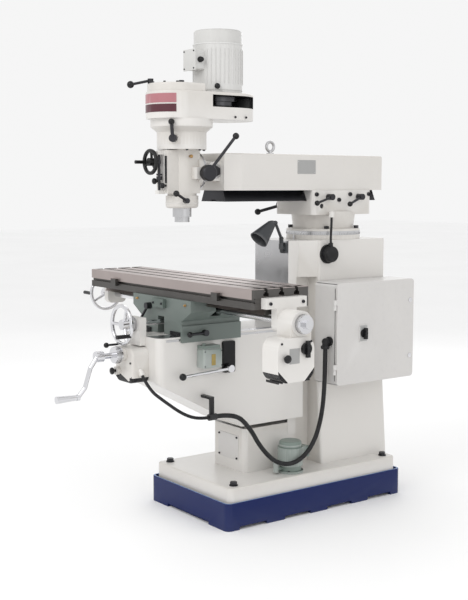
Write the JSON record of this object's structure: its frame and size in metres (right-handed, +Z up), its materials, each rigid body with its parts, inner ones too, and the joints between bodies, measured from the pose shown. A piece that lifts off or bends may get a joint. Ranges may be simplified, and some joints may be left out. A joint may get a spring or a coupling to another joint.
{
  "type": "vertical milling machine",
  "caption": "Knee-type turret milling machine with a tilting, swivelling head on a sliding ram, T-slot table, saddle, knee and a side cabinet.",
  "frame": {"origin": "centre of the plinth's footprint, where it stands on the floor", "axes": "+Z up, -Y towards the operator, +X to the operator's right, along the table"},
  "size_m": [1.696, 1.793, 2.233],
  "materials": {
    "white_paint": "satin enamel",
    "white_sheet": "satin enamel",
    "white_cast_alloy": "satin enamel",
    "motor_paint": "satin enamel",
    "navy_paint": "gloss enamel",
    "green_grey_paint": "satin enamel",
    "green_grey_cast": "satin enamel on cast iron",
    "dark_grey_paint": "satin enamel",
    "black_paint": "satin enamel",
    "dark_steel": "black oxide",
    "ground_steel": "ground",
    "ground_iron": "ground top, oiled sides",
    "chrome": "polished",
    "bronze": "machined",
    "pulley_alloy": "turned",
    "black_plastic": "matte",
    "black_rubber": "matte"
  },
  "bodies": {
    "frame": {"plinth_tray": "navy_paint", "base_casting": "white_paint", "anchor_bolts": "dark_steel", "column_casting": "white_paint", "elevating_nut": "bronze", "electrical_cabinet": "white_sheet", "hose_elbow": "black_rubber", "loop_hose": "black_rubber", "coolant_pump": "green_grey_paint", "column_gland": "black_rubber", "motor_cable": "black_rubber", "lamp_base": "dark_grey_paint"},
    "cabinet_door": {"cabinet_door": "white_sheet"},
    "main_switch": {"main_switch": "black_plastic"},
    "lamp_arm": {"lamp_arm": "dark_grey_paint"},
    "lamp_head": {"lamp_head": "dark_grey_paint"},
    "turret": {"turret_swivel": "white_paint", "turret_bolts": "dark_steel"},
    "ram_pinion": {"ram_pinion": "dark_steel"},
    "ram_lock_front": {"ram_lock_front": "dark_steel"},
    "ram_lock_rear": {"ram_lock_rear": "dark_steel"},
    "ram": {"ram_casting": "white_paint", "lifting_eye": "ground_steel", "knuckle_pin": "dark_steel"},
    "knuckle": {"knuckle": "white_paint"},
    "head": {"quill_housing": "white_paint", "quill_stop_rod": "dark_steel", "back_gear_housing": "white_paint", "belt_housing": "white_cast_alloy", "motor": "motor_paint", "drive_belt": "black_rubber"},
    "quill": {"quill": "ground_steel"},
    "spindle": {"spindle": "ground_steel", "drawbar": "dark_steel"},
    "spindle_pulley": {"spindle_pulley": "pulley_alloy"},
    "motor_pulley": {"motor_pulley": "pulley_alloy"},
    "coarse_feed_lever": {"coarse_feed_lever": "dark_steel"},
    "fine_feed_handwheel": {"fine_feed_handwheel": "black_plastic"},
    "quill_lock_lever": {"quill_lock_lever": "dark_steel"},
    "brake_lever": {"brake_lever": "dark_steel"},
    "range_lever": {"range_lever": "dark_steel"},
    "knee": {"knee_casting": "white_paint", "knee_power_feed": "white_cast_alloy", "lube_pump": "green_grey_paint", "lock_bracket": "black_paint", "knee_conduit": "black_rubber"},
    "elevating_screw": {"elevating_screw": "ground_steel"},
    "elevating_crank": {"elevating_crank": "chrome"},
    "knee_lock_lever": {"knee_lock_lever": "chrome"},
    "knee_feed_lever": {"knee_feed_lever": "dark_steel"},
    "saddle": {"saddle_casting": "green_grey_cast", "feed_nuts": "bronze"},
    "cross_screw": {"cross_screw": "chrome"},
    "saddle_lock_lever": {"saddle_lock_lever": "dark_steel"},
    "table_lock_lever": {"table_lock_lever": "dark_steel"},
    "table": {"table": "ground_iron", "table_end_brackets": "white_paint", "table_power_feed": "white_cast_alloy"},
    "lead_screw": {"lead_screw": "chrome"},
    "table_feed_lever": {"table_feed_lever": "black_plastic"}
  },
  "joints": [
    {"name": "door_hinge", "type": "hinge", "parent": "frame", "child": "cabinet_door", "pos_m": [0.334, 0.073, 0.837], "axis": [0, 0, -1], "range_deg": [0, 95]},
    {"name": "switch_turn", "type": "hinge", "parent": "cabinet_door", "child": "main_switch", "pos_m": [0.341, 0.247, 0.835], "axis": [1, 0, 0], "range_deg": [0, 90]},
    {"name": "lamp_arm_turn", "type": "hinge", "parent": "frame", "child": "lamp_arm", "pos_m": [0.105, -0.066, 1.262], "axis": [0, 0, 1], "range_deg": [-20, 60]},
    {"name": "lamp_head_tilt", "type": "hinge", "parent": "lamp_arm", "child": "lamp_head", "pos_m": [0.15, -0.152, 1.362], "axis": [0, 1, 0], "range_deg": [-60, 60]},
    {"name": "turret_turn", "type": "hinge", "parent": "frame", "child": "turret", "pos_m": [0, 0.285, 1.274], "axis": [0, 0, 1], "range_deg": [-90, 90]},
    {"name": "ram_pinion_turn", "type": "hinge", "parent": "turret", "child": "ram_pinion", "pos_m": [0, 0.15, 1.437], "axis": [1, 0, 0], "range_deg": [-642.3, 275.6]},
    {"name": "ram_lock_front_turn", "type": "hinge", "parent": "turret", "child": "ram_lock_front", "pos_m": [0.146, 0.19, 1.48], "axis": [1, 0, 0], "range_deg": [-50, 15]},
    {"name": "ram_lock_rear_turn", "type": "hinge", "parent": "turret", "child": "ram_lock_rear", "pos_m": [0.146, 0.385, 1.48], "axis": [1, 0, 0], "range_deg": [-50, 15]},
    {"name": "ram_slide", "type": "slide", "parent": "turret", "child": "ram", "axis": [0, 1, 0], "range_m": [-0.12, 0.28]},
    {"name": "head_tilt", "type": "hinge", "parent": "ram", "child": "knuckle", "pos_m": [0, -0.432, 1.6], "axis": [1, 0, 0], "range_deg": [-20, 20]},
    {"name": "head_swivel", "type": "hinge", "parent": "knuckle", "child": "head", "pos_m": [0, -0.492, 1.6], "axis": [0, 1, 0], "range_deg": [-90, 80]},
    {"name": "quill_slide", "type": "slide", "parent": "head", "child": "quill", "axis": [0, 0, -1], "range_m": [0, 0.127]},
    {"name": "spindle_turn", "type": "hinge", "parent": "quill", "child": "spindle", "pos_m": [0, -0.559, 1.371], "axis": [0, 0, 1], "continuous": true},
    {"name": "spindle_pulley_turn", "type": "hinge", "parent": "head", "child": "spindle_pulley", "pos_m": [0, -0.559, 1.858], "axis": [0, 0, 1], "continuous": true},
    {"name": "motor_pulley_turn", "type": "hinge", "parent": "head", "child": "motor_pulley", "pos_m": [0, -0.359, 1.858], "axis": [0, 0, 1], "continuous": true},
    {"name": "coarse_feed_turn", "type": "hinge", "parent": "head", "child": "coarse_feed_lever", "pos_m": [0.104, -0.506, 1.591], "axis": [1, 0, 0], "range_deg": [-0.6, 607]},
    {"name": "fine_feed_turn", "type": "hinge", "parent": "head", "child": "fine_feed_handwheel", "pos_m": [-0.03, -0.663, 1.64], "axis": [0, 1, 0], "continuous": true},
    {"name": "quill_lock_turn", "type": "hinge", "parent": "head", "child": "quill_lock_lever", "pos_m": [0.072, -0.589, 1.468], "axis": [1, 0, 0], "range_deg": [-30, 35]},
    {"name": "brake_turn", "type": "hinge", "parent": "head", "child": "brake_lever", "pos_m": [-0.05, -0.69, 1.985], "axis": [0, 0, 1], "range_deg": [-30, 30]},
    {"name": "range_turn", "type": "hinge", "parent": "head", "child": "range_lever", "pos_m": [0.07881, -0.65221, 1.742], "axis": [0.6457, -0.7636, 0], "range_deg": [-45, 45]},
    {"name": "knee_slide", "type": "slide", "parent": "frame", "child": "knee", "axis": [0, 0, 1], "range_m": [-0.225, 0.08]},
    {"name": "elevating_screw_turn", "type": "hinge", "parent": "knee", "child": "elevating_screw", "pos_m": [0, -0.19, 0.748], "axis": [0, 0, 1], "range_deg": [-16200.6, 5760.6]},
    {"name": "elevating_crank_turn", "type": "hinge", "parent": "knee", "child": "elevating_crank", "pos_m": [0, -0.79, 0.794], "axis": [0, -1, 0], "range_deg": [-16200.6, 5760.6]},
    {"name": "knee_lock_turn", "type": "hinge", "parent": "knee", "child": "knee_lock_lever", "pos_m": [0.188, -0.43, 0.712], "axis": [1, 0, 0], "range_deg": [0, 15]},
    {"name": "knee_feed_turn", "type": "hinge", "parent": "knee", "child": "knee_feed_lever", "pos_m": [-0.052, -0.836, 0.826], "axis": [0, 0, 1], "range_deg": [-35, 5]},
    {"name": "saddle_slide", "type": "slide", "parent": "knee", "child": "saddle", "axis": [0, 1, 0], "range_m": [-0.1, 0.28]},
    {"name": "cross_screw_turn", "type": "hinge", "parent": "knee", "child": "cross_screw", "pos_m": [0, -0.79, 0.925], "axis": [0, -1, 0], "range_deg": [-7200.6, 20160.6]},
    {"name": "saddle_lock_turn", "type": "hinge", "parent": "saddle", "child": "saddle_lock_lever", "pos_m": [0.174, -0.56, 0.884], "axis": [1, 0, 0], "range_deg": [-30, 0]},
    {"name": "table_lock_turn", "type": "hinge", "parent": "saddle", "child": "table_lock_lever", "pos_m": [-0.09, -0.676, 0.99], "axis": [0, 1, 0], "range_deg": [-40, 40]},
    {"name": "table_slide", "type": "slide", "parent": "saddle", "child": "table", "axis": [1, 0, 0], "range_m": [-0.4, 0.4]},
    {"name": "lead_screw_turn", "type": "hinge", "parent": "table", "child": "lead_screw", "pos_m": [0, -0.516, 0.985], "axis": [-1, 0, 0], "range_deg": [-28800.6, 28800.6]},
    {"name": "table_feed_turn", "type": "hinge", "parent": "table", "child": "table_feed_lever", "pos_m": [0.802, -0.5, 0.884], "axis": [1, 0, 0], "range_deg": [-30, 30]}
  ],
  "couplings": [
    {"joint": "ram_pinion_turn", "follows": "ram_slide", "rad_per_m": -40},
    {"joint": "coarse_feed_turn", "follows": "quill_slide", "rad_per_m": 83.333},
    {"joint": "spindle_pulley_turn", "follows": "spindle_turn", "ratio": 1},
    {"joint": "motor_pulley_turn", "follows": "spindle_turn", "ratio": 1.2414},
    {"joint": "elevating_screw_turn", "follows": "knee_slide", "rad_per_m": 1256.6},
    {"joint": "elevating_crank_turn", "follows": "knee_slide", "rad_per_m": 1256.6},
    {"joint": "cross_screw_turn", "follows": "saddle_slide", "rad_per_m": 1256.6},
    {"joint": "lead_screw_turn", "follows": "table_slide", "rad_per_m": 1256.6}
  ]
}
